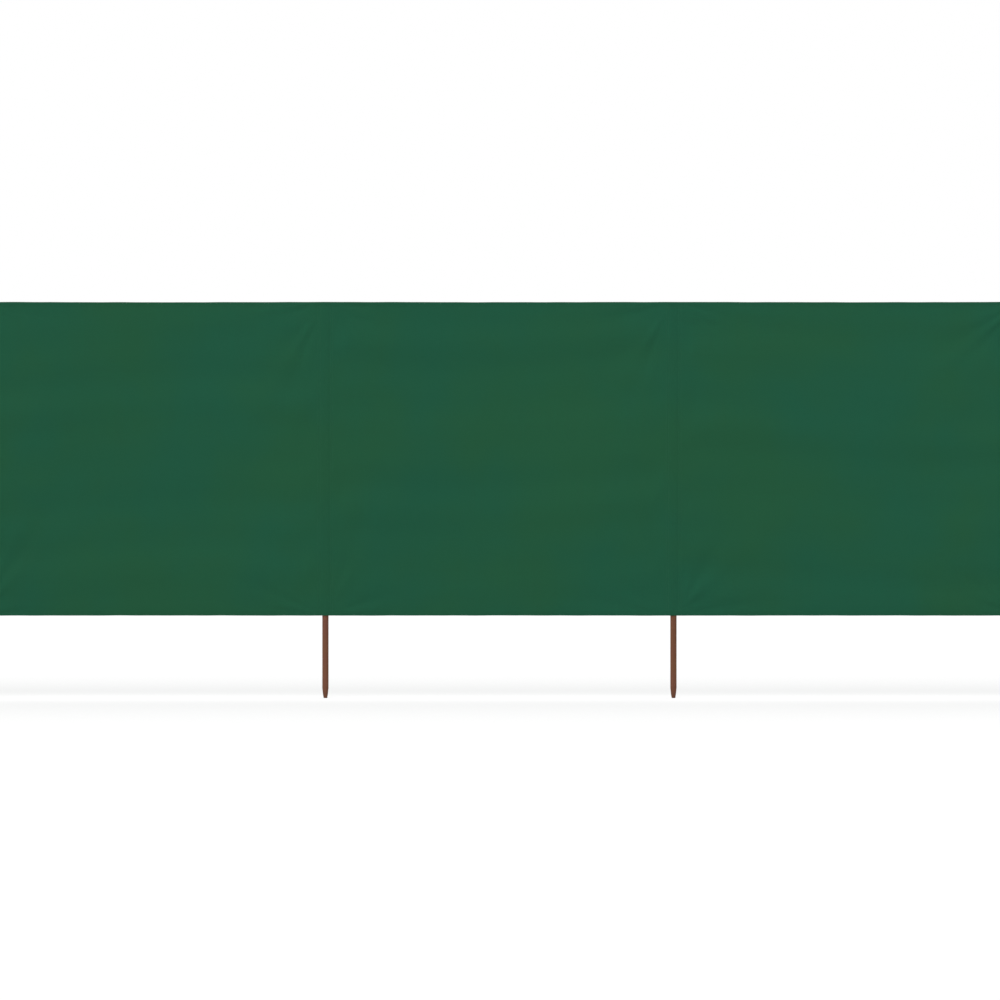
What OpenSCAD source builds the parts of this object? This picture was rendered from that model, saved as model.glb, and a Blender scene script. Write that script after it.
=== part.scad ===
// Beach windbreak: a strip of cloth in whole bays, held up by round wooden poles.
// Each pole stands in a sleeve that is sewn to the back of the cloth and closed at the top.
// Millimetres, +Z up, the front of the cloth faces -Y. The origin is on the flat tip of the
// middle pole.

/* [Bays] */
// Number of whole bays
bays = 6; // [1:1:10]
// Distance from pole to pole
bay_pitch = 1333; // [600:1:2000]

/* [Cloth] */
// Height of the cloth, hem to hem
cloth_h = 1200; // [600:10:1800]
// Thickness of one layer of cloth
cloth_t = 0.8; // [0.4:0.1:1.5]
// Height of the folded hems along the top and bottom edges
hem_h = 16; // [8:1:40]

/* [Poles] */
// Diameter of a pole
pole_d = 24; // [18:0.5:36]
// Bare length of a pole below the cloth
foot_h = 316; // [150:1:500]
// Height of the point at a pole's foot
point_h = 38; // [20:1:90]
// Diameter of the blunt end of the point
tip_d = 15; // [6:0.5:16]
// Width of the broken edge round the blunt end
tip_edge = 1.5; // [0.5:0.1:2.5]
// Width of the broken edge round the top of a pole
top_edge = 2; // [0.5:0.5:5]

/* [Sleeves] */
// Clearance round a pole in its sleeve
pole_clear = 0.3; // [0.1:0.1:1]
// From the sleeve's round back, sideways, to the row of stitching that holds it
stitch_gap = 7.2; // [4:0.1:20]
// Width of the strip outside each row of stitching
wing_w = 12; // [6:1:30]
// Height over which a sleeve closes above its pole
closing_h = 22; // [10:1:60]
// Height of the flat end that is sewn down below the top hem
flat_end_h = 8; // [5:1:20]

/* [Hidden] */
CLOTH_COLOUR = [36, 85, 60] / 255;
WOOD_COLOUR = [112, 77, 59] / 255;
// Flats that make up a sleeve's round back, and the round fold along a hem
BACK_STEPS = 16;
FOLD_STEPS = 8;
// Height that is left of a sleeve's round back where it meets its flat end
CLOSED_SHARE = 0.02;
// A folded hem is three layers: the cloth and two turns behind it
HEM_LAYERS = 3;

pole_count = bays + 1;
middle_pole = floor(pole_count / 2) + pole_count % 2;
function pole_x(i) = (i - middle_pole) * bay_pitch;

// Depth, front to back
pole_r = pole_d / 2;
sleeve_r = pole_r + pole_clear;
hem_t = HEM_LAYERS * cloth_t;
cloth_back_y = -sleeve_r - (hem_t - cloth_t);
cloth_front_y = cloth_back_y - cloth_t;

// Width of a sleeve, from the pole's axis
stitch_x = sleeve_r + stitch_gap;
strip_x = stitch_x + wing_w;

// Heights above the tip of the middle pole
cloth_bottom_z = foot_h;
cloth_top_z = cloth_bottom_z + cloth_h;
sleeve_bottom_z = cloth_bottom_z + hem_h;
sleeve_top_z = cloth_top_z - hem_h;
flat_end_z = sleeve_top_z - flat_end_h;
pole_top_z = flat_end_z - closing_h;

// Points on a circle round [cx, cy], from angle a0 to a1
function arc(cx, cy, r, a0, a1, steps) =
    [for (k = [0:steps]) let (a = a0 + (a1 - a0) * k / steps) [cx + r * cos(a), cy + r * sin(a)]];

// Section through a sleeve, seen from above, where the cloth's back face is y = 0: two wings flat on
// the cloth, two straight sides that rise from the stitching, and a round back between them.
// These are its outer and inner lines, from right to left and back.
rise = atan2(-cloth_back_y, stitch_x) + asin(sleeve_r / norm([stitch_x, cloth_back_y]));
lift_x = stitch_x + cloth_t * tan(rise / 2);
outer_line = concat(
    [[strip_x, cloth_t], [lift_x, cloth_t]],
    arc(0, -cloth_back_y, sleeve_r + cloth_t, 90 - rise, 90 + rise, BACK_STEPS),
    [[-lift_x, cloth_t], [-strip_x, cloth_t]]
);
inner_line = concat(
    [[-strip_x, 0], [-stitch_x, 0]],
    arc(0, -cloth_back_y, sleeve_r, 90 + rise, 90 - rise, BACK_STEPS),
    [[stitch_x, 0], [strip_x, 0]]
);

// The same section with its back pressed down to a share of its height
function pressed(share) = concat(
    [for (p = outer_line) [p[0], cloth_t + (p[1] - cloth_t) * share]],
    [for (p = inner_line) [p[0], p[1] * share]]
);

// Solid between two such sections, the second one h above the first. Each end is closed by a row of
// quads between the outer and the inner line.
module loft(lower, upper, h) {
    n = len(lower);
    points = concat([for (p = lower) [p[0], p[1], 0]], [for (p = upper) [p[0], p[1], h]]);
    sides = [for (k = [0:n - 1]) let (m = (k + 1) % n) each [[k, k + n, m], [m, k + n, m + n]]];
    lower_end = [for (k = [0:n / 2 - 2]) let (m = n - 1 - k) each [[k, k + 1, m - 1], [k, m - 1, m]]];
    upper_end = [for (f = lower_end) [f[2] + n, f[1] + n, f[0] + n]];
    polyhedron(points, concat(sides, lower_end, upper_end));
}

// One bay of cloth, from pole to pole, with a folded hem along the top and the bottom.
// The first and last bays run on to the edge of the end poles' sleeves.
module panel(i) {
    left_x = pole_x(i) - (i == 1 ? strip_x : 0);
    right_x = pole_x(i + 1) + (i == bays ? strip_x : 0);
    fold_r = hem_t / 2;
    hem_back_y = cloth_front_y + hem_t;
    fold_y = cloth_front_y + fold_r;
    section = concat(
        arc(fold_y, cloth_bottom_z + fold_r, fold_r, 180, 360, FOLD_STEPS),
        [[hem_back_y, sleeve_bottom_z], [cloth_back_y, sleeve_bottom_z]],
        [[cloth_back_y, sleeve_top_z], [hem_back_y, sleeve_top_z]],
        arc(fold_y, cloth_top_z - fold_r, fold_r, 0, 180, FOLD_STEPS)
    );
    color(CLOTH_COLOUR)
        translate([left_x, 0, 0])
            rotate([90, 0, 90])
                linear_extrude(right_x - left_x)
                    polygon(section);
}

// Strip sewn to the back of the cloth round one pole: open at the bottom, closing above the
// pole to a flat end below the top hem.
module sleeve(i) {
    round_section = pressed(1);
    closed_section = pressed(CLOSED_SHARE);
    color(CLOTH_COLOUR)
        translate([pole_x(i), cloth_back_y, 0]) {
            translate([0, 0, sleeve_bottom_z])
                linear_extrude(pole_top_z - sleeve_bottom_z)
                    polygon(round_section);
            translate([0, 0, pole_top_z])
                loft(round_section, closed_section, closing_h);
            translate([-strip_x, 0, flat_end_z])
                cube([2 * strip_x, cloth_t, flat_end_h]);
        }
}

// Round pole, turned to a blunt point at the foot, with its top edge broken.
module pole(i) {
    tip_r = tip_d / 2;
    color(WOOD_COLOUR)
        translate([pole_x(i), 0, 0])
            rotate_extrude($fn = 48)
                polygon([
                    [0, 0],
                    [tip_r - tip_edge, 0],
                    [tip_r, tip_edge],
                    [pole_r, point_h],
                    [pole_r, pole_top_z - top_edge],
                    [pole_r - top_edge, pole_top_z],
                    [0, pole_top_z]
                ]);
}

for (i = [1:bays])
    panel(i);
for (i = [1:pole_count])
    sleeve(i);
for (i = [1:pole_count])
    pole(i);
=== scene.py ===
"""Beach windbreak: a taut green cloth in six bays, with folded hems, on round wooden poles that
stand in sleeves sewn to its back.

Each surface is a grid worked out with numpy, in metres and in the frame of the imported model:
+X runs along the windbreak, the front of the cloth faces -Y and the pole tips are at z = 0.
"""

import bpy
import numpy as np
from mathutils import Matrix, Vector


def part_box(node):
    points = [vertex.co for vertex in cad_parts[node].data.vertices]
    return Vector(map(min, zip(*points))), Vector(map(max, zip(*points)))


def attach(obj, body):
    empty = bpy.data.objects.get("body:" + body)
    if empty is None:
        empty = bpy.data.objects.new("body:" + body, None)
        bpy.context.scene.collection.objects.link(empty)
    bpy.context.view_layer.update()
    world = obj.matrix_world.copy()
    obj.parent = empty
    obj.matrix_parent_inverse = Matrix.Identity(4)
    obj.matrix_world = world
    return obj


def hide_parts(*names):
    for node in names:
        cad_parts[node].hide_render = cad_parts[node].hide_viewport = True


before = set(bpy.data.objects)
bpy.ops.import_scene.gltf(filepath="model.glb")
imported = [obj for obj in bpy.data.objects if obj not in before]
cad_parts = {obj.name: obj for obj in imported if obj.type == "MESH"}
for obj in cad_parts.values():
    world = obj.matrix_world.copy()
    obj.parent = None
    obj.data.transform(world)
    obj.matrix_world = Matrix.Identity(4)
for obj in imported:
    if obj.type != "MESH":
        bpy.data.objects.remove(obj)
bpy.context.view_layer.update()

MM = 0.001


def numbered(kind):
    """Names of the frame's nodes of one kind, in order along the windbreak."""
    names = [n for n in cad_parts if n.startswith(kind + "_")]
    return sorted(names, key=lambda n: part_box(n)[0].x)


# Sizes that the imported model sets
PANELS, SLEEVES, POLES = (numbered(kind) for kind in ("panel", "sleeve", "pole"))
POLE_X = np.array([(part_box(n)[0].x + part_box(n)[1].x) / 2 for n in POLES])
POLE_R = (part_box(POLES[0])[1].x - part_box(POLES[0])[0].x) / 2
POLE_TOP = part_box(POLES[0])[1].z
PITCH = POLE_X[1] - POLE_X[0]
CLOTH_LEFT, CLOTH_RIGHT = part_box(PANELS[0])[0].x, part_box(PANELS[-1])[1].x
CLOTH_LOW, CLOTH_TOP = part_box(PANELS[0])[0].z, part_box(PANELS[0])[1].z
SLEEVE_LOW, SLEEVE_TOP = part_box(SLEEVES[0])[0].z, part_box(SLEEVES[0])[1].z
STRIP_HALF = (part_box(SLEEVES[0])[1].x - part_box(SLEEVES[0])[0].x) / 2
HEM_H = SLEEVE_LOW - CLOTH_LOW

# Cloth and its hems
CLOTH_T = 0.42 * MM
LAYER = 0.6 * MM  # from one layer to the next in a fold
CLOTH_Y = -POLE_R - 2.6 * LAYER  # middle of the cloth, in front of the poles and the hem's folds
TURNED_IN = 4 * MM  # height of the raw edge inside a hem
HEM_STITCH_Z = HEM_H - 3 * MM  # height of the hem's stitching above the edge
TURN_POINTS, FOLD_POINTS = 3, 4  # points round the turn inside a hem and round its edge
COLUMNS, ROWS = 170, 84  # grid lines of a bay's front, from pole to pole and from hem to hem
COLUMN_CROWDING, ROW_CROWDING = 0.6, 0.55  # how much closer they lie beside poles and hems
END_COLUMNS = 7  # grid lines past an end pole

# Bow and swells of the cloth
BELLY = np.array([12.0, 4.5, 13.5, 9.5, 4.0, 12.5]) * MM  # how far each bay bows to the back
EDGE_SLACK = 0.35  # share of the slack that is left at the hems
SLACK_REACH = 0.35  # from a hem to where the cloth has all its slack
SWELL = 4.0 * MM
SWELL_REACH = 0.3  # from the stitching to where the swells have their full depth
RIDGE = 0.9 * MM  # how far a pole pushes the cloth forward

# Folds that run from pole to pole, along the pull
LEVEL_FOLD = 6.5 * MM
LEVEL_LENGTHS = (0.157, 0.223, 0.317)
LEVEL_FAR = 0.35  # share of their depth that is left far from the poles
LEVEL_FADE = 0.3  # distance over which they fade to it
LEVEL_START = 0.07  # from the stitching to where they have their full depth
LEVEL_EDGE = 0.09  # and from the edge of the cloth
LEVEL_SWAY, SWAY_LENGTH = 0.03, 1.9  # how far they sway up and down, and over what length
BAY_SHIFT = 0.37  # how much higher the same folds are in the next bay

# Folds that fan out from where a pole meets a hem
DRAG = 4.4 * MM  # depth of the deepest ones
DRAG_LEAST = 0.25  # share of that depth in the faintest corner
DRAG_FOLDS = 8.5  # folds in half a turn
DRAG_BEND = 1.1  # how far they are bent off an even fan, in radians of their wave
DRAG_UNEVEN = 0.4  # how much the folds of one fan differ
DRAG_START = 0.14  # from the corner to where they have their full depth
DRAG_CLEAR = 0.08  # and from the stitching
DRAG_REACH = 0.27  # distance over which they fade

# Puckers beside the stitching of sleeves and hems
TUCK = 0.8 * MM
SEAM_LENGTHS, HEM_LENGTHS = (0.071, 0.097, 0.163), (0.056, 0.083, 0.131)
SEAM_W, HEM_W = 45 * MM, 30 * MM  # how far from the stitching they reach
SEAM_LEAN = 0.12  # slope of those beside the sleeves

# Edges of the cloth
DROOP = 0.7 * MM  # how far the top edge hangs between poles
LOW_DROOP = 0.4  # share of that by which the bottom edge is drawn up
STRAY, STRAY_LENGTHS = 0.4 * MM, (0.13, 0.21, 0.37)  # how far both edges stray from a line
EDGE_BAND = 0.3  # height over which that dies out

# Sleeves
STITCH_X = STRIP_HALF - 12 * MM  # from the pole's axis to the stitching beside it
SLEEVE_R = POLE_R + 0.6 * MM
FLAT_END = SLEEVE_TOP - 8 * MM  # where the closed top is sewn flat
STRIP_HEM = 8 * MM  # from a strip's bottom edge to the row round it
WING_POINTS, SIDE_POINTS, BACK_POINTS = 5, 7, 10  # points along half of a sleeve's section
BODY_ROWS, SHOULDER_ROWS = 46, 21  # grid lines below the pole's top and above it
REST_FROM = 10 * MM  # from the pole's axis to where a strip begins to rest on the cloth
REST_OVER = 9 * MM  # width over which it comes to rest
EASE, EASE_LENGTHS = 0.6 * MM, (0.13, 0.23, 0.41)  # how loosely a sleeve goes round its pole
EASE_LEAN = 0.3  # slope of its waves
GATHER, GATHER_PITCH = 1.3 * MM, 6.3 * MM  # gathers in the closed top: their depth and spacing
GATHER_Z, GATHER_H = FLAT_END - 3 * MM, 6 * MM  # where they are deepest, and how far they reach
GATHER_EDGE = 1 / 6  # share of the half width over which they die out at the stitching

# Poles
POINT_H = 38 * MM
TIP_R = 7.5 * MM
TIP_ROUND = 1.8 * MM
TOP_ROUND = 2.0 * MM
CONE_SWELL, CONE_LOW = 0.08, 1.6  # how much fuller than a cone the point is, and how low down
CUT_MARK = 0.03  # depth of the cut marks round the point, as a share of its radius
CUT_FACETS = 5  # cut marks in a turn
CUT_LEAN, CUT_SHIFT = 12, 3  # how they wind up the point, and from pole to pole, in radians
POLE_SIDES = 40
ROUND_POINTS, CONE_POINTS, SHAFT_POINTS = 6, 13, 14

# Stitching
STITCH_PITCH = 5 * MM
STITCH_LEN = 3.9 * MM
LEN_VARIES, SLANT_VARIES = (0.9, 1.06), 0.05  # shares of a stitch's length
THREAD_R = 0.3 * MM
THREAD_SIDES = 4
THREAD_BODY = 0.62  # share of a stitch that has the thread's full thickness
BODY_LIFT, END_SINK = 0.35, 0.6  # rise of its body above the cloth and dip of its ends, in thread radii
EDGE_STITCH = 3 * MM  # from a strip's edge to the row beside it
END_STITCH = 2 * MM  # from the ends of the flat top to the rows across it

# Photograph
PHOTO_W = 1000
PIXEL = 1.2 / 313.6  # metres a pixel at the cloth
RIGHT_OF_BAY, BELOW_CLOTH = 0.55, 41.2  # pixels from the middle of a bay to the photograph's middle
VIEW_X = (POLE_X[3] + POLE_X[4]) / 2 + RIGHT_OF_BAY * PIXEL
VIEW_Z = (CLOTH_LOW + CLOTH_TOP) / 2 - BELOW_CLOTH * PIXEL
LENS, SENSOR = 135, 36


# Shapes

def smooth(t):
    """0 below 0, 1 above 1, and 3t^2 - 2t^3 between."""
    t = np.clip(t, 0, 1)
    return t * t * (3 - 2 * t)


def at_least(share, t):
    """The share where t is 0, 1 where t is 1, and on a straight line between."""
    return share + (1 - share) * t


def crowded(count, amount):
    """Count values from 0 to 1 that lie closer together at both ends: t - amount sin(2 pi t) / 2 pi."""
    t = np.linspace(0, 1, count)
    return t - amount * np.sin(2 * np.pi * t) / (2 * np.pi)


def length_along(line):
    """Distance along a line of points from its first one: the sum of the steps so far."""
    steps = np.linalg.norm(np.diff(line, axis=0), axis=1)
    return np.concatenate([[0], np.cumsum(steps)])


def nearest_pole(x):
    """Number of the pole whose axis is nearest to x, counted from 0."""
    return np.clip(np.round((x - POLE_X[0]) / PITCH), 0, len(POLE_X) - 1).astype(int)


def from_pole(x):
    """Distance along X from the nearest pole's axis, signed."""
    return x - POLE_X[0] - nearest_pole(x) * PITCH


def bay_ends(i):
    """Left and right end of one bay's cloth: a pole's axis, or the cloth's own end past the end poles."""
    left = CLOTH_LEFT if i == 0 else POLE_X[i]
    right = CLOTH_RIGHT if i == len(PANELS) - 1 else POLE_X[i + 1]
    return left, right


def waves(a, lengths, seed):
    """Mean of one sine along a for each wavelength, each with a phase of its own."""
    phases = np.random.default_rng(seed).uniform(0, 2 * np.pi, len(lengths))
    return sum(np.sin(2 * np.pi * a / n + p) for n, p in zip(lengths, phases)) / len(lengths)


def plane_waves(x, z, seed, count=7, shortest=0.4, longest=1.1):
    """Sum of plane waves across the cloth, each with its own length, direction and phase."""
    rng = np.random.default_rng(seed)
    k = 2 * np.pi / rng.uniform(shortest, longest, count)
    turn, phase = rng.uniform(0, np.pi, count), rng.uniform(0, 2 * np.pi, count)
    return sum(np.sin(k[i] * (x * np.cos(turn[i]) + z * np.sin(turn[i])) + phase[i])
               for i in range(count)) / np.sqrt(count)


def drag_folds(x, z, d, edge):
    """Folds that fan out from each corner where a pole meets a hem: a sine of the angle about the corner,
    bent and weakened by slower sines, with a strength and phases of its own in each corner, that
    dies away with the distance."""
    right, upper = from_pole(x) > 0, z > (CLOTH_LOW + CLOTH_TOP) / 2
    corner = nearest_pole(x), right.astype(int), upper.astype(int)
    pull, phase, bend = np.random.default_rng(14).uniform(0, 1, (3, len(POLE_X), 2, 2))
    turn, reach = 2 * np.arctan2(edge, d), np.hypot(d, edge)
    bent = DRAG_BEND * np.sin(2 * turn + 2 * np.pi * bend[corner])
    folds = np.sin(DRAG_FOLDS * turn + bent + 2 * np.pi * phase[corner])
    uneven = 1 - DRAG_UNEVEN + DRAG_UNEVEN * np.sin(3 * turn + 9 * bend[corner])
    fading = np.exp(-reach / DRAG_REACH) * smooth(reach / DRAG_START) * smooth((d - STITCH_X) / DRAG_CLEAR)
    return DRAG * at_least(DRAG_LEAST, pull[corner]) * uneven * folds * fading


def relief(x, z):
    """How far the cloth stands behind its plane at (x, z), as a sum: a bow in each bay, which is a squared
    sine from pole to pole, soft plane waves that die out at the poles, level folds along the pull,
    which are sines of the height, short sines beside the sleeves' and hems' stitching, the drag
    folds, and a low ridge over each pole."""
    d = np.abs(from_pole(x))
    clear = d - STITCH_X
    edge = np.minimum(z - CLOTH_LOW, CLOTH_TOP - z)
    along = (x - POLE_X[0]) / PITCH
    bay = np.clip(np.floor(along), 0, len(BELLY) - 1).astype(int)

    slack = at_least(EDGE_SLACK, smooth(edge / SLACK_REACH))
    bow = BELLY[bay] * np.sin(np.pi * np.clip(along - bay, 0, 1)) ** 2 * slack
    swells = SWELL * plane_waves(x, z, seed=3) * smooth(clear / SWELL_REACH) * slack

    swaying = z + LEVEL_SWAY * np.sin(2 * np.pi * x / SWAY_LENGTH) + BAY_SHIFT * bay
    pulled = at_least(LEVEL_FAR, np.exp(-d / LEVEL_FADE))
    level_folds = LEVEL_FOLD * waves(swaying, LEVEL_LENGTHS, seed=4) * pulled
    level_folds = level_folds * smooth(clear / LEVEL_START) * smooth(edge / LEVEL_EDGE)

    seam_tucks = waves(z + SEAM_LEAN * x, SEAM_LENGTHS, seed=5) * np.exp(-(clear / SEAM_W) ** 2)
    hem_tucks = waves(x, HEM_LENGTHS, seed=6) * np.exp(-((edge - HEM_H) / HEM_W) ** 2)
    tucks = TUCK * (seam_tucks + hem_tucks) * smooth(d / STITCH_X)

    ridge = -RIDGE * (1 - np.clip(d / STITCH_X, 0, 1) ** 4) ** 2
    return bow + swells + level_folds + tucks + drag_folds(x, z, d, edge) + ridge


def hang(x, z):
    """Height of the cloth at (x, z): its top edge hangs between the poles by a squared sine, its bottom
    edge is drawn up a little, and both stray by a few sines. All three die out inwards."""
    along = np.sin(np.pi * np.clip((x - POLE_X[0]) / PITCH, 0, len(BELLY))) ** 2
    top = smooth((z - CLOTH_TOP + EDGE_BAND) / EDGE_BAND)
    low = smooth((CLOTH_LOW + EDGE_BAND - z) / EDGE_BAND)
    stray = STRAY * waves(x, STRAY_LENGTHS, seed=8)
    return z - DROOP * along * top + LOW_DROOP * DROOP * along * low + stray * (top + low)


def cloth_points(x, z, depth):
    """Points of the cloth at (x, z), depth behind its middle."""
    return np.stack([x + 0 * z, CLOTH_Y + relief(x, z) + depth, hang(x, z)], axis=-1)


def arc(middle, radius, start, end, count):
    """Depth and height along an arc between two angles in degrees, ends left out."""
    a = np.radians(np.linspace(start, end, count + 2)[1:-1])
    return np.stack([middle[0] + radius * np.cos(a), middle[1] + radius * np.sin(a)], axis=1)


def cut_path():
    """Depth and height of the cloth's cut, edge to edge: the raw edge turned in, up inside the hem,
    over and down its back, round the bottom edge, up the front, and the same at the top."""
    inside = np.array([[LAYER, TURNED_IN], [LAYER, HEM_H - LAYER]])
    turn = arc((1.5 * LAYER, HEM_H - LAYER), LAYER / 2, 180, 0, TURN_POINTS)
    back_z = np.array([HEM_H - LAYER, HEM_STITCH_Z, HEM_STITCH_Z / 2, LAYER])
    back = np.stack([2 * LAYER + 0 * back_z, back_z], axis=1)
    fold = arc((LAYER, LAYER), LAYER, 0, -180, FOLD_POINTS)
    lower = np.concatenate([inside, turn, back, fold])
    height = CLOTH_TOP - CLOTH_LOW
    front_z = LAYER + (height - 2 * LAYER) * crowded(ROWS, ROW_CROWDING)
    front = np.stack([0 * front_z, front_z], axis=1)
    upper = lower[::-1] * (1, -1) + (0, height)
    return np.concatenate([lower, front, upper])


def between_lines(a, b):
    """Quads between two lines of vertices that run side by side."""
    return np.stack([a[:-1], a[1:], b[1:], b[:-1]], axis=-1).reshape(-1, 4)


def sheet_mesh(name, middle, cut):
    """Closed mesh of a sheet of cloth: its middle surface, a grid of points, moved along its normal by
    half the cloth's thickness to each side, and a rim all round with sharp edges. The UV map holds the
    flat cut."""
    normal = np.cross(np.gradient(middle, axis=1), np.gradient(middle, axis=0))
    normal *= CLOTH_T / 2 / np.linalg.norm(normal, axis=-1, keepdims=True)
    outer = np.arange(middle[..., 0].size).reshape(middle.shape[:2])
    inner = outer + outer.size
    sides = [between_lines(g[:-1].T, g[1:].T) for g in (outer, inner[:, ::-1])]
    rims = [between_lines(outer[0, ::-1], inner[0, ::-1]), between_lines(outer[-1], inner[-1]),
            between_lines(outer[:, 0], inner[:, 0]), between_lines(outer[::-1, -1], inner[::-1, -1])]
    faces = np.concatenate(sides + rims)
    mesh = bpy.data.meshes.new(name)
    mesh.from_pydata(np.concatenate([middle + normal, middle - normal]).reshape(-1, 3), [], faces)
    mesh.shade_smooth()
    border = np.zeros(outer.shape, bool)
    border[[0, -1]] = border[:, [0, -1]] = True
    ends = np.empty(2 * len(mesh.edges), int)
    mesh.edges.foreach_get("vertices", ends)
    on_border = border.ravel()[ends.reshape(-1, 2) % outer.size].all(axis=1)
    mesh.edges.foreach_set("use_edge_sharp", on_border)
    uv = mesh.uv_layers.new(name="cut")
    flat = np.concatenate([cut, cut]).reshape(-1, 2)
    uv.data.foreach_set("uv", flat[faces.ravel()].astype(np.float32).ravel())
    return mesh


def piece(mesh, material, replaced=()):
    """Object for a finished mesh, riding on the part, in the place of the nodes it stands for."""
    mesh.materials.append(material)
    made = bpy.data.objects.new(mesh.name, mesh)
    bpy.context.scene.collection.objects.link(made)
    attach(made, "root")
    if replaced:
        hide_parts(*replaced)
    return made


def bay_mesh(i):
    """One bay of cloth, and the height of its cut: the cut path carried along X from pole to pole, with
    the cloth's relief. The end bays run on past their end pole."""
    left, right = bay_ends(i)
    x = POLE_X[i] + PITCH * crowded(COLUMNS, COLUMN_CROWDING)
    past = np.linspace(0, 1, END_COLUMNS + 1)[1:]
    if i == 0:
        x = np.concatenate([(POLE_X[0] + (left - POLE_X[0]) * past)[::-1], x])
    if i == len(PANELS) - 1:
        x = np.concatenate([x, POLE_X[-1] + (right - POLE_X[-1]) * past])
    path = cut_path()
    v = length_along(path)
    xs, zs = np.meshgrid(x, CLOTH_LOW + path[:, 1])
    points = cloth_points(xs, zs, path[:, :1])
    cut = np.stack(np.meshgrid(x, v), axis=-1)
    return sheet_mesh(f"cloth_bay_{i + 1}", points, cut), v[-1]


def sleeve_profile():
    """Section of a sleeve from right to left: x, depth y, and length along the strip. A wing lies flat
    on the cloth, then a straight side rises from the stitching and meets the round back at a tangent."""
    base = CLOTH_Y + LAYER
    rise = np.arctan2(-base, STITCH_X) + np.arcsin(SLEEVE_R / np.hypot(STITCH_X, base))
    wing_x = np.linspace(STRIP_HALF, STITCH_X, WING_POINTS, endpoint=False)
    wing = np.stack([wing_x, base + 0 * wing_x], axis=1)
    touch = SLEEVE_R * np.array([np.sin(rise), np.cos(rise)])
    t = np.linspace(0, 1, SIDE_POINTS, endpoint=False)[:, None]
    side = np.array([STITCH_X, base]) * (1 - t) + touch * t
    a = np.linspace(rise, 0, BACK_POINTS)
    back = SLEEVE_R * np.stack([np.sin(a), np.cos(a)], axis=1)
    half = np.concatenate([wing, side, back])
    whole = np.concatenate([half, half[-2::-1] * (-1, 1)])
    return whole[:, 0], whole[:, 1], length_along(whole)


def sleeve_points(pole_x, x, y, z):
    """Points of a sleeve's strip: its section carried up the pole, resting on the cloth at its wings,
    pressed flat above the pole's top and gathered there where the spare width is sewn down. Slow
    sines, other ones for each sleeve, give its round back some ease."""
    base = CLOTH_Y + LAYER
    inside = np.clip(np.abs(x) / STITCH_X, 0, 1)
    closing = smooth((z - POLE_TOP) / (FLAT_END - POLE_TOP))
    at_stitching = np.where(inside < 1, np.sign(x) * STITCH_X, x)
    on_cloth = relief(pole_x + at_stitching + (x - at_stitching) * closing, z)
    rests = np.maximum(smooth((np.abs(x) - REST_FROM) / REST_OVER), closing)
    own_seed = 11 + int(round(pole_x / PITCH)) % len(POLE_X)
    ease = EASE * (1 + waves(z + EASE_LEAN * x, EASE_LENGTHS, own_seed))
    loose = ease * np.cos(np.pi / 2 * inside) * (1 - closing)
    gather_z = np.exp(-((z - GATHER_Z) / GATHER_H) ** 2)
    gather_x = np.sin(np.pi * x / GATHER_PITCH) ** 2 * smooth((1 - inside) / GATHER_EDGE)
    depth = base + (y - base) * (1 - closing) + on_cloth * rests + loose + GATHER * gather_x * gather_z
    return np.stack([pole_x + x + 0 * z, depth, hang(pole_x + 0 * z, z) + 0 * x], axis=-1)


def sleeve_mesh(i):
    """One sleeve's strip, open at the bottom and sewn flat at the top, and the width of its cut."""
    x, y, u = sleeve_profile()
    body = np.linspace(SLEEVE_LOW, POLE_TOP, BODY_ROWS)
    shoulder = np.linspace(POLE_TOP, SLEEVE_TOP, SHOULDER_ROWS + 1)[1:]
    z = np.concatenate([body, shoulder])
    points = sleeve_points(POLE_X[i], x[None, :], y[None, :], z[:, None])
    cut = np.stack(np.meshgrid(u, z), axis=-1)
    return sheet_mesh(f"sleeve_strip_{i + 1}", points, cut), u[-1]


def pole_profile():
    """Radius and height of a pole's outline, from the edge of its flat tip to the edge of its flat top:
    a rounded edge, a cone swollen by a squared sine that eases into the shaft, and a rounded top edge."""
    a = np.linspace(0, np.pi / 2, ROUND_POINTS)
    tip = np.stack([TIP_R - TIP_ROUND * (1 - np.sin(a)), TIP_ROUND * (1 - np.cos(a))], axis=1)
    t = np.linspace(0, 1, CONE_POINTS + 1)[1:]
    widening = t + CONE_SWELL * np.sin(np.pi * t) ** 2 * (CONE_LOW - t)
    cone_r = np.minimum(TIP_R + (POLE_R - TIP_R) * widening, POLE_R)
    cone = np.stack([cone_r, TIP_ROUND + (POINT_H - TIP_ROUND) * t], axis=1)
    shaft_z = np.linspace(POINT_H, POLE_TOP - TOP_ROUND, SHAFT_POINTS + 2)[1:-1]
    shaft = np.stack([POLE_R + 0 * shaft_z, shaft_z], axis=1)
    top = np.stack([POLE_R - TOP_ROUND * (1 - np.cos(a)), POLE_TOP - TOP_ROUND * (1 - np.sin(a))], axis=1)
    return np.concatenate([tip, cone, shaft, top])


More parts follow.
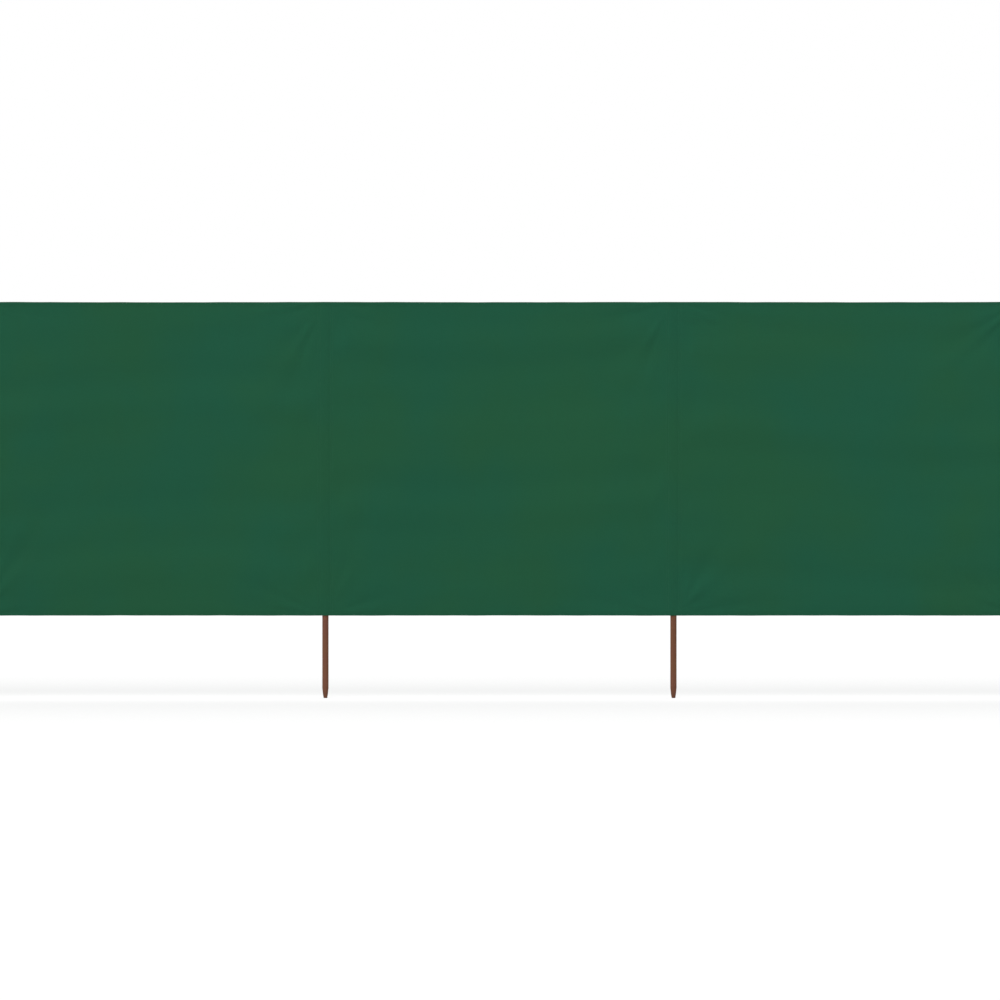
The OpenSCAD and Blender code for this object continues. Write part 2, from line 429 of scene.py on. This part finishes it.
def pole_mesh(i):
    """One pole: its outline turned about the axis, with shallow cut marks round the point that are the
    absolute value of a sine of the angle, and a fan of triangles that closes each end. Each pole is
    turned a radian further than the one before."""
    outline = pole_profile()
    r, z = outline[:, :1], outline[:, 1:]
    angle = np.linspace(0, 2 * np.pi, POLE_SIDES, endpoint=False)[None, :] + i
    facets = np.abs(np.sin(CUT_FACETS / 2 * angle + CUT_SHIFT * i + CUT_LEAN * z / POINT_H))
    r = r * (1 - CUT_MARK * smooth(1 - z / POINT_H) * facets)
    rings = np.stack([POLE_X[i] + r * np.cos(angle), r * np.sin(angle), z + 0 * angle], axis=-1)
    middles = [[POLE_X[i], 0, z[0, 0]], [POLE_X[i], 0, z[-1, 0]]]
    points = np.concatenate([rings.reshape(-1, 3), middles])
    corner = np.arange(r.size).reshape(r.shape)
    after = np.roll(corner, -1, axis=1)
    sides = np.stack([corner[:-1], after[:-1], after[1:], corner[1:]], axis=-1).reshape(-1, 4)
    low_fan = np.stack([after[0], corner[0], np.full(POLE_SIDES, len(points) - 2)], axis=1)
    top_fan = np.stack([corner[-1], after[-1], np.full(POLE_SIDES, len(points) - 1)], axis=1)
    mesh = bpy.data.meshes.new(f"round_pole_{i + 1}")
    mesh.from_pydata(points, [], sides.tolist() + low_fan.tolist() + top_fan.tolist())
    mesh.shade_smooth()
    return mesh


def stitch_mesh(name, centres, along, outward, seed):
    """One short thread at each centre: a four-sided spindle that lies along the row, with its ends
    drawn into the cloth. Lengths and slants vary a little."""
    rng = np.random.default_rng(seed)
    count = len(centres)
    half = STITCH_LEN / 2 * rng.uniform(*LEN_VARIES, (count, 1))
    side = np.cross(outward, along)
    along = along + side * rng.normal(0, SLANT_VARIES, (count, 1))
    turn = 2 * np.pi * np.arange(THREAD_SIDES)[:, None] / THREAD_SIDES
    ring = THREAD_R * (np.cos(turn) * side[:, None] + np.sin(turn) * outward[:, None])
    stations = ((-1, -END_SINK), (-THREAD_BODY, BODY_LIFT), (THREAD_BODY, BODY_LIFT), (1, -END_SINK))
    start, near, far, end = ((centres + along * half * share + outward * THREAD_R * lift)[:, None]
                             for share, lift in stations)
    points = np.concatenate([start, near + ring, far + ring, end], axis=1)
    first = 1 + np.arange(THREAD_SIDES)
    second = first + THREAD_SIDES
    first_next, second_next = np.roll(first, -1), np.roll(second, -1)
    tail, head = 0 * first, 0 * first + 1 + 2 * THREAD_SIDES
    corners = ((tail, first_next, first), (first, first_next, second_next),
               (first, second_next, second), (second, second_next, head))
    one = np.concatenate([np.stack(three, axis=1) for three in corners])
    faces = (one[None] + points.shape[1] * np.arange(count)[:, None, None]).reshape(-1, 3)
    mesh = bpy.data.meshes.new(name)
    mesh.from_pydata(points.reshape(-1, 3), [], faces)
    mesh.shade_smooth()
    return mesh


def row(start, end):
    """Middles of the stitches that fit between two places."""
    count = int((end - start) / STITCH_PITCH)
    return np.linspace(start, end, count, endpoint=False) + (end - start) / count / 2


def facing(count, direction):
    """The same direction for each stitch of a row."""
    return np.tile(np.array(direction, float), (count, 1))


def hem_stitches(i):
    """The two rows of one bay's hems, on the front of the cloth and on the back of its folds."""
    x = row(*bay_ends(i))
    front, back = -CLOTH_T / 2, 2 * LAYER + CLOTH_T / 2
    heights = (CLOTH_LOW + HEM_STITCH_Z, CLOTH_TOP - HEM_STITCH_Z)
    rows = [cloth_points(x, np.full_like(x, z), depth) for z in heights for depth in (front, back)]
    centres = np.concatenate(rows)
    along = facing(len(centres), (1, 0, 0))
    outward = np.concatenate([facing(len(x), (0, y, 0)) for _ in heights for y in (-1, 1)])
    return stitch_mesh(f"hem_stitching_{i + 1}", centres, along, outward, 20 + i)


def sleeve_stitches(i):
    """A sleeve's stitching, which shows on the front of the cloth and on the strip: two upright rows on
    each side, two rows across the flat end, and on the strip alone one row round its bottom edge."""
    px, py, u = sleeve_profile()
    z = row(SLEEVE_LOW, SLEEVE_TOP)
    x = row(-STRIP_HALF + EDGE_STITCH, STRIP_HALF - EDGE_STITCH)
    uprights = [side * w for side in (-1, 1) for w in (STITCH_X, STRIP_HALF - EDGE_STITCH)]
    levels = (FLAT_END + END_STITCH, SLEEVE_TOP - END_STITCH)
    places = [(across + 0 * z, z) for across in uprights] + [(x, h + 0 * x) for h in levels]
    ways = [(0, 0, 1)] * len(uprights) + [(1, 0, 0)] * len(levels)
    proud = CLOTH_T / 2
    centres, along, outward = [], [], []
    for (at_x, at_z), way in zip(places, ways):
        depth = np.interp(at_x, px[::-1], py[::-1])
        centres += [cloth_points(POLE_X[i] + at_x, at_z, -proud),
                    sleeve_points(POLE_X[i], at_x, depth, at_z) + (0, proud, 0)]
        along += [facing(len(at_x), way)] * 2
        outward += [facing(len(at_x), (0, -1, 0)), facing(len(at_x), (0, 1, 0))]
    at = row(u[0] + EDGE_STITCH, u[-1] - EDGE_STITCH)
    sx, sy = np.interp(at, u, px), np.interp(at, u, py)
    step = np.stack([np.interp(at + MM, u, px) - sx, np.interp(at + MM, u, py) - sy, 0 * at], axis=1)
    step /= np.linalg.norm(step, axis=1, keepdims=True)
    out = np.stack([step[:, 1], -step[:, 0], 0 * at], axis=1)
    centres.append(sleeve_points(POLE_X[i], sx, sy, SLEEVE_LOW + STRIP_HEM + 0 * at) + out * proud)
    return stitch_mesh(f"sleeve_stitching_{i + 1}", np.concatenate(centres), np.concatenate(along + [step]),
                       np.concatenate(outward + [out]), 40 + i)


# Materials

class Value:
    """Output of a node that can be reckoned with: + - * / and abs make Math nodes."""

    def __init__(self, nodes, socket):
        self.nodes, self.socket = nodes, socket

    def __add__(self, other):
        return self.nodes.math("ADD", self, other)

    def __sub__(self, other):
        return self.nodes.math("SUBTRACT", self, other)

    def __rsub__(self, other):
        return self.nodes.math("SUBTRACT", other, self)

    def __mul__(self, other):
        return self.nodes.math("MULTIPLY", self, other)

    def __truediv__(self, other):
        return self.nodes.math("DIVIDE", self, other)

    def __abs__(self):
        return self.nodes.math("ABSOLUTE", self)


class Nodes:
    """A node tree under construction."""

    def __init__(self, tree):
        self.tree = tree

    def put(self, socket, value):
        """Links a value to a socket, or sets the socket to a constant."""
        if isinstance(value, Value):
            self.tree.links.new(value.socket, socket)
        else:
            socket.default_value = value

    def node(self, kind, sockets, output=0, **settings):
        """Output of a new node with these settings and these inputs."""
        made = self.tree.nodes.new(kind)
        for key, value in settings.items():
            setattr(made, key, value)
        for key, value in sockets.items():
            self.put(made.inputs[key], value)
        return Value(self, made.outputs[output])

    def math(self, operation, a, b=0.0):
        """Result of a sum on one or two values."""
        return self.node("ShaderNodeMath", {0: a, 1: b}, operation=operation)

    def sine(self, a):
        """Sine of an angle."""
        return self.math("SINE", a)

    def vector(self, x, y, z=0.0):
        """Vector with these coordinates."""
        return self.node("ShaderNodeCombineXYZ", {"X": x, "Y": y, "Z": z})

    def parts(self, vector):
        """The three coordinates of a vector."""
        made = self.tree.nodes.new("ShaderNodeSeparateXYZ")
        self.put(made.inputs[0], vector)
        return [Value(self, out) for out in made.outputs]

    def place(self):
        """Where a point lies on the windbreak."""
        return self.node("ShaderNodeTexCoord", {}, output="Object")

    def noise(self, vector, scale=1.0, detail=2.0):
        """Smooth noise about 0.5."""
        return self.node("ShaderNodeTexNoise", {"Vector": vector, "Scale": scale, "Detail": detail})

    def between(self, value, low, high, to_low=0.0, to_high=1.0):
        """Smooth step from to_low to to_high as the value goes from low to high."""
        limits = {"From Min": low, "From Max": high, "To Min": to_low, "To Max": to_high}
        return self.node("ShaderNodeMapRange", {"Value": value, **limits}, interpolation_type="SMOOTHSTEP")

    def mix(self, factor, a, b, blend="MIX"):
        """Colour between a and b, or the two blended."""
        return self.node("ShaderNodeMix", {0: factor, 6: a, 7: b}, output=2,
                         data_type="RGBA", blend_type=blend)

    def varied(self, value, share, about=0.5):
        """Brightness that is 1 where the value is what it varies about, and off 1 by this share of
        what the value is off that."""
        return value * share + (1 - share * about)

    def shaded(self, colour, brightness):
        """The colour times a brightness."""
        grey = self.node("ShaderNodeCombineColor", {0: brightness, 1: brightness, 2: brightness})
        return self.mix(1.0, colour, grey, "MULTIPLY")

    def bump(self, height, strength, distance):
        """Normal that a height tilts."""
        return self.node("ShaderNodeBump", {"Strength": strength, "Distance": distance, "Height": height})

    def shown(self):
        """1 for what the camera sees, straight, mirrored or through glass, and 0 for light on its way."""
        ray = self.tree.nodes.new("ShaderNodeLightPath").outputs
        straight, mirrored, through = (Value(self, ray[f"Is {kind} Ray"])
                                       for kind in ("Camera", "Glossy", "Transmission"))
        return self.math("MAXIMUM", self.math("MAXIMUM", straight, mirrored), through)


class Finish(Nodes):
    """A material under construction."""

    def __init__(self, name):
        self.material = bpy.data.materials.new(name)
        self.material.use_nodes = True
        super().__init__(self.material.node_tree)
        self.shader = self.tree.nodes["Principled BSDF"]

    def finish(self, **sockets):
        """The material, with these inputs on its shader."""
        for key, value in sockets.items():
            self.put(self.shader.inputs[key.replace("_", " ")], value)
        return self.material


def screen_colour(red, green, blue):
    """Linear colour of an sRGB one given from 0 to 255."""
    c = np.array([red, green, blue]) / 255
    linear = np.where(c <= 0.04045, c / 12.92, ((c + 0.055) / 1.055) ** 2.4)
    return (*linear.tolist(), 1.0)


def pole_place(f):
    """The place across the nearest pole, from its axis, the height, and that pole's number."""
    x, y, z = f.parts(f.place())
    number = f.math("ROUND", x / PITCH)
    return x - number * PITCH, y, z, number


def cloth_finish():
    """Plain-woven green cloth: threads that pass over and under each other, with painted shade in the gaps
    between them, slubs along both threads, a slow drift between two greens, painted shade that makes the
    hems a shade darker, and a painted pole shadow, a shade darker, where a pole stands behind."""
    f = Finish("green_cloth")
    u, v, _ = f.parts(f.node("ShaderNodeUVMap", {}, uv_map="cut"))
    thread_w, crossing = 0.6 * MM, 0.12
    wave_u, wave_v = f.sine(u * (np.pi / thread_w)), f.sine(v * (np.pi / thread_w))
    round_u, round_v = abs(wave_u), abs(wave_v)
    upright = round_u * (round_v * 0.5 + 0.5)
    level = round_v * (round_u * 0.5 + 0.5)
    upright_on_top = f.between(wave_u * wave_v, -crossing, crossing)
    weave = level + upright_on_top * (upright - level)

    slub_across, slub_along, other_slubs = 420, 3.2, 9.0
    warp = f.noise(f.vector(u * slub_across, v * slub_along))
    weft = f.noise(f.vector(u * slub_along, v * slub_across, other_slubs))
    slubs = warp + weft

    drift = f.between(f.noise(f.place(), scale=1.6, detail=3.0), 0.35, 0.65)
    colour = f.mix(drift, screen_colour(31, 84, 56), screen_colour(27, 84, 61))
    across, _, z, _ = pole_place(f)
    edge = f.math("MINIMUM", z - CLOTH_LOW, CLOTH_TOP - z)
    # painted shadow: a band a shade darker where a pole stands behind the cloth
    painted_pole_shadow = f.between(abs(across), 14 * MM, 22 * MM, 0.975, 1.0)
    # painted shade: the hems a shade darker than the rest of the cloth
    painted_hem_shade = f.between(edge, HEM_H - MM, HEM_H + MM, 0.94, 1.0)
    brightness = f.varied(slubs, 0.16, about=1.0) * (painted_pole_shadow * painted_hem_shade)
    # painted shade: the cloth darker in the gaps between threads and lighter on their tops, after the
    # weave's height
    brightness = brightness * f.varied(weave, 0.3, about=7 / 15)
    return f.finish(Base_Color=f.shaded(colour, brightness),
                    Roughness=f.between(slubs, 0.7, 1.3, 0.8, 0.92),
                    Normal=f.bump(weave + slubs * 0.6, strength=0.6, distance=0.2 * MM),
                    Specular_IOR_Level=0.12,
                    Sheen_Weight=0.06, Sheen_Roughness=0.35, Sheen_Tint=screen_colour(104, 186, 140))


def thread_finish():
    """Sewing thread a shade lighter than the cloth, with a fine twist and painted shade in the grooves of
    the twist.
    """
    f = Finish("green_thread")
    x, _, z = f.parts(f.place())
    twist_pitch = 0.8 * MM
    twist = f.sine((x + z) * (2 * np.pi / twist_pitch))
    # painted shade: the thread darker in the grooves of its twist
    return f.finish(Base_Color=f.shaded(screen_colour(44, 98, 70), f.varied(twist, 0.08, about=0.0)),
                    Roughness=0.6,
                    Normal=f.bump(twist, strength=0.4, distance=0.05 * MM),
                    Specular_IOR_Level=0.2)


def wood_finish():
    """Brown-stained softwood: growth rings about a pith that lies outside the pole, on a side of its own
    in each one and wandering along it, with fibres and pores drawn out along the grain, a slow drift of
    the stain, a tint of its own for each pole and a soiled point."""
    f = Finish("stained_wood")
    across, y, z, number = pole_place(f)
    along = z + number * 3.7  # another stretch of the grain for each pole

    def grain(fineness, along_fineness, detail):
        """Noise that is finer across the pole than along it."""
        return f.noise(f.vector(across * fineness, y * fineness, along * along_fineness), 1.0, detail)

    pith, pith_wander, pith_side = 21 * MM, 22 * MM, number * 2.4
    away = f.noise(f.vector(0.0, 0.0, along), scale=2.2, detail=2.0) * pith_wander + pith
    from_pith = f.vector(across + away * f.math("COSINE", pith_side), y + away * f.sine(pith_side))
    radius = f.node("ShaderNodeVectorMath", {0: from_pith}, output="Value", operation="LENGTH")

    # Late wood darkens through each ring and ends short, and some years have less of it
    ring_w, uneven_years, ripple = 2.3 * MM, 1.1, 1.3
    years = f.noise(f.vector(radius * 260, number), scale=1.0, detail=1.0)
    ring = f.math("FRACT", radius / ring_w + years * uneven_years + grain(60, 3.0, detail=2.0) * ripple)
    late_wood = f.math("POWER", ring, 1.8) * f.between(ring, 0.9, 1.0, 1.0, 0.0)
    late_wood = late_wood * f.between(years, 0.3, 0.7, 1.1, 0.6)

    fibre = grain(1500, 16, detail=3.0)
    pores = f.between(grain(2600, 90, detail=1.0), 0.62, 0.72)
    stain = f.between(f.noise(f.vector(across, y, along), scale=5.0, detail=2.0), 0.35, 0.65)
    early_colour = f.mix(stain, screen_colour(120, 76, 61), screen_colour(121, 82, 55))
    colour = f.mix(late_wood, early_colour, screen_colour(92, 55, 41))

    soil_ragged = 40 * MM
    soil_edge = z + f.noise(f.vector(across, y, z), scale=60.0, detail=3.0) * soil_ragged
    soil = f.between(soil_edge, 12 * MM, 75 * MM, 0.78, 1.0)
    tint = f.node("ShaderNodeTexWhiteNoise", {"W": number}, noise_dimensions="1D")
    brightness = (f.varied(fibre, 0.42) - pores * 0.2) * soil * f.between(tint, 0.0, 1.0, 0.94, 1.06)
    return f.finish(Base_Color=f.shaded(colour, brightness),
                    Roughness=f.between(fibre, 0.3, 0.7, 0.78, 0.9),
                    Normal=f.bump(fibre + late_wood * 0.4 - pores, strength=0.5, distance=0.25 * MM),
                    Specular_IOR_Level=0.2)


# The windbreak

cloth, thread, wood = cloth_finish(), thread_finish(), wood_finish()
poles = [piece(pole_mesh(i), wood, [n]) for i, n in enumerate(POLES)]
for i, node in enumerate(PANELS):
    mesh, cut_height = bay_mesh(i)
    bay = piece(mesh, cloth, [node])
    sewn = piece(hem_stitches(i), thread)
    poles[i + 1]
for i, node in enumerate(SLEEVES):
    mesh, strip_w = sleeve_mesh(i)
    strip = piece(mesh, cloth, [node])
    sewn = piece(sleeve_stitches(i), thread)


# Studio

WHITE, PALE_GREY = (1, 1, 1, 1), (0.8, 0.8, 0.8, 1)


def white_floor(reach, plain_white):
    """Pale floor that shows white to the camera: a share of plain white, and the rest its own shading,
    so that the windbreak's shadow stays on it."""
    f = Finish("pale_floor")
    f.tree.nodes.remove(f.shader)
    plain = f.node("ShaderNodeBsdfDiffuse", {"Color": PALE_GREY})
    lit = f.node("ShaderNodeBsdfDiffuse", {"Color": WHITE})
    glow = f.node("ShaderNodeEmission", {"Color": WHITE, "Strength": 1.0})
    seen = f.node("ShaderNodeMixShader", {0: plain_white, 1: lit, 2: glow})
    surface = f.node("ShaderNodeMixShader", {0: f.shown(), 1: plain, 2: seen})
    f.put(f.tree.nodes["Material Output"].inputs["Surface"], surface)
    mesh = bpy.data.meshes.new("floor")
    corners = [(-reach, -reach, 0), (reach, -reach, 0), (reach, reach, 0), (-reach, reach, 0)]
    mesh.from_pydata(corners, [], [(0, 1, 2, 3)])
    mesh.materials.append(f.material)
    floor = bpy.data.objects.new("floor", mesh)
    bpy.context.scene.collection.objects.link(floor)


def white_world(level):
    """Even light from all round, and plain white where the camera sees past the floor."""
    world = bpy.data.worlds.new("studio")
    world.use_nodes = True
    w = Nodes(world.node_tree)
    strength = w.node("ShaderNodeMapRange", {"Value": w.shown(), "To Min": level, "To Max": 1.0})
    background = w.tree.nodes["Background"]
    w.put(background.inputs["Color"], WHITE)
    w.put(background.inputs["Strength"], strength)
    bpy.context.scene.world = world


def lamp(name, towards, strength, softness):
    """A broad lamp far away, which lights the whole length alike. Its softness is in degrees."""
    data = bpy.data.lights.new(name, "SUN")
    data.energy, data.angle = strength, np.radians(softness)
    made = bpy.data.objects.new(name, data)
    made.rotation_euler = Vector(towards).to_track_quat("-Z", "Y").to_euler()
    bpy.context.scene.collection.objects.link(made)


def photo_camera():
    """Camera square to the front, far enough for the photograph's frame to fill its lens."""
    data = bpy.data.cameras.new("camera")
    data.lens, data.sensor_width = LENS, SENSOR
    distance = PHOTO_W * PIXEL * LENS / SENSOR
    data.clip_end = 20 * distance  # past the far edge of the floor
    camera = bpy.data.objects.new("camera", data)
    camera.location = (VIEW_X, CLOTH_Y - distance, VIEW_Z)
    camera.rotation_euler = (np.pi / 2, 0, 0)
    bpy.context.scene.collection.objects.link(camera)
    bpy.context.scene.camera = camera


white_floor(reach=150.0, plain_white=0.74)
white_world(level=0.385)
lamp("key", towards=(0.36, 0.62, -0.7), strength=1.9, softness=42)
lamp("back_fill", towards=(-0.5, -0.55, -0.67), strength=1.56, softness=46)
photo_camera()
bpy.context.scene.view_settings.view_transform = "Standard"
